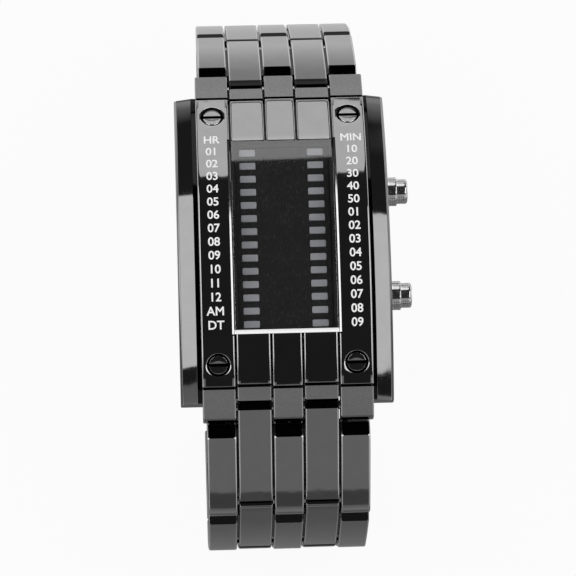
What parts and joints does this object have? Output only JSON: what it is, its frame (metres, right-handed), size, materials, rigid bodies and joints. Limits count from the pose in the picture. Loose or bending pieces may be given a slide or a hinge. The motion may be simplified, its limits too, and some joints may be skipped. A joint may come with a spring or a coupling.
{
  "type": "led watch",
  "caption": "Curved dark metal wristwatch with a window of LED bars, two side pushers and a closed five-row bracelet with a folding clasp.",
  "frame": {"origin": "middle of the outer face of the clasp cover, which the closed watch stands on", "axes": "+Z from the clasp up to the dial, +Y towards 12 o'clock, +X towards the pushers at 3 o'clock"},
  "size_m": [0.0393, 0.0962, 0.0607],
  "materials": {
    "dark_metal": "polished dark plating, fine scratches",
    "pusher_metal": "polished dark plating on knurled metal",
    "screw_steel": "polished dark steel with machined slots",
    "crystal": "clear, slightly smoked mineral glass",
    "rubber": "matt black",
    "mask": "matt black",
    "led_lens": "unlit grey lens",
    "circuit_board": "green solder mask",
    "component": "moulded black",
    "holder_plastic": "off-white moulded plastic",
    "cell": "plain nickel-plated steel",
    "contact": "thin sprung brass",
    "steel": "lengthwise brushed",
    "spring_steel": "drawn wire"
  },
  "bodies": {
    "case": {"case_body": "dark_metal", "bezel_plate": "dark_metal", "bezel_screws": "screw_steel", "crystal": "crystal", "crystal_gasket": "rubber", "display_mask": "mask", "led_bars": "led_lens", "led_board": "circuit_board", "main_board": "circuit_board", "board_components": "component", "module_holder": "holder_plastic", "coin_cell_upper": "cell", "coin_cell_lower": "cell", "battery_strap": "contact", "case_back": "steel", "case_back_gasket": "rubber", "case_back_screws": "screw_steel", "pusher_tube_upper": "pusher_metal", "pusher_tube_lower": "pusher_metal", "pusher_spring_upper": "spring_steel", "pusher_spring_lower": "spring_steel", "pusher_seal_upper": "rubber", "pusher_seal_lower": "rubber", "lug_bar_high": "steel", "lug_bar_low": "steel"},
    "upper_pusher": {"pusher_upper": "pusher_metal", "pusher_clip_upper": "spring_steel"},
    "lower_pusher": {"pusher_lower": "pusher_metal", "pusher_clip_lower": "spring_steel"},
    "low_link_1": {"link_low_1": "dark_metal", "link_bar_low_1": "steel"},
    "low_link_2": {"link_low_2": "dark_metal", "link_bar_low_2": "steel"},
    "low_link_3": {"link_low_3": "dark_metal", "link_bar_low_3": "steel"},
    "low_link_4": {"link_low_4": "dark_metal", "link_bar_low_4": "steel"},
    "high_link_1": {"link_high_1": "dark_metal", "link_bar_high_1": "steel"},
    "high_link_2": {"link_high_2": "dark_metal", "link_bar_high_2": "steel"},
    "high_link_3": {"link_high_3": "dark_metal", "link_bar_high_3": "steel"},
    "high_link_4": {"link_high_4": "dark_metal", "link_bar_high_4": "steel"},
    "clasp_blade": {"clasp_inner_blade": "steel"},
    "fold_blade": {"clasp_middle_blade": "steel", "clasp_fold_pin_low": "steel"},
    "cover": {"clasp_cover": "dark_metal", "clasp_fold_pin_high": "steel", "clasp_spring_left": "spring_steel", "clasp_spring_right": "spring_steel"},
    "left_button": {"clasp_button_left": "steel"},
    "right_button": {"clasp_button_right": "steel"}
  },
  "joints": [
    {"name": "press_upper_pusher", "type": "slide", "parent": "case", "child": "upper_pusher", "axis": [-1, 0, 0], "range_m": [0, 0.0008], "stiffness_N_per_m": 1500, "springref_m": -0.0005, "deforming": ["pusher_spring_upper"]},
    {"name": "press_lower_pusher", "type": "slide", "parent": "case", "child": "lower_pusher", "axis": [-1, 0, 0], "range_m": [0, 0.0008], "stiffness_N_per_m": 1500, "springref_m": -0.0005, "deforming": ["pusher_spring_lower"]},
    {"name": "open_low_1", "type": "hinge", "parent": "case", "child": "low_link_1", "pos_m": [0, -0.02583, 0.05123], "axis": [-1, 0, 0], "range_deg": [0, 9.2]},
    {"name": "open_low_2", "type": "hinge", "parent": "low_link_1", "child": "low_link_2", "pos_m": [0, -0.0397, 0.04105], "axis": [-1, 0, 0], "range_deg": [0, 43.7]},
    {"name": "open_low_3", "type": "hinge", "parent": "low_link_2", "child": "low_link_3", "pos_m": [0, -0.04268, 0.02411], "axis": [-1, 0, 0], "range_deg": [0, 23]},
    {"name": "open_low_4", "type": "hinge", "parent": "low_link_3", "child": "low_link_4", "pos_m": [0, -0.03881, 0.00735], "axis": [-1, 0, 0], "range_deg": [0, 62]},
    {"name": "open_high_1", "type": "hinge", "parent": "case", "child": "high_link_1", "pos_m": [0, 0.02938, 0.05123], "axis": [1, 0, 0], "range_deg": [0, 21.2]},
    {"name": "open_high_2", "type": "hinge", "parent": "high_link_1", "child": "high_link_2", "pos_m": [0, 0.04082, 0.03839], "axis": [1, 0, 0], "range_deg": [0, 15.2]},
    {"name": "open_high_3", "type": "hinge", "parent": "high_link_2", "child": "high_link_3", "pos_m": [0, 0.0485, 0.023], "axis": [1, 0, 0], "range_deg": [0, 63.2]},
    {"name": "open_high_4", "type": "hinge", "parent": "high_link_3", "child": "high_link_4", "pos_m": [0, 0.03819, 0.00922], "axis": [1, 0, 0], "range_deg": [0, 31.6]},
    {"name": "open_high_5", "type": "hinge", "parent": "high_link_4", "child": "clasp_blade", "pos_m": [0, 0.0222, 0.0029], "axis": [1, 0, 0], "range_deg": [0, 21.5]},
    {"name": "clasp_fold", "type": "hinge", "parent": "clasp_blade", "child": "fold_blade", "pos_m": [0, -0.0144, 0.00235], "axis": [-1, 0, 0], "range_deg": [0, 155]},
    {"name": "cover_fold", "type": "hinge", "parent": "fold_blade", "child": "cover", "pos_m": [0, 0.0152, 0.00235], "axis": [1, 0, 0], "range_deg": [0, 155]},
    {"name": "press_left_button", "type": "slide", "parent": "cover", "child": "left_button", "axis": [1, 0, 0], "range_m": [0, 0.0004], "stiffness_N_per_m": 1500, "springref_m": -0.0003, "deforming": ["clasp_spring_left"]},
    {"name": "press_right_button", "type": "slide", "parent": "cover", "child": "right_button", "axis": [-1, 0, 0], "range_m": [0, 0.0004], "stiffness_N_per_m": 1500, "springref_m": -0.0003, "deforming": ["clasp_spring_right"]}
  ],
  "couplings": [
    {"joint": "cover_fold", "follows": "clasp_fold", "ratio": 1}
  ]
}
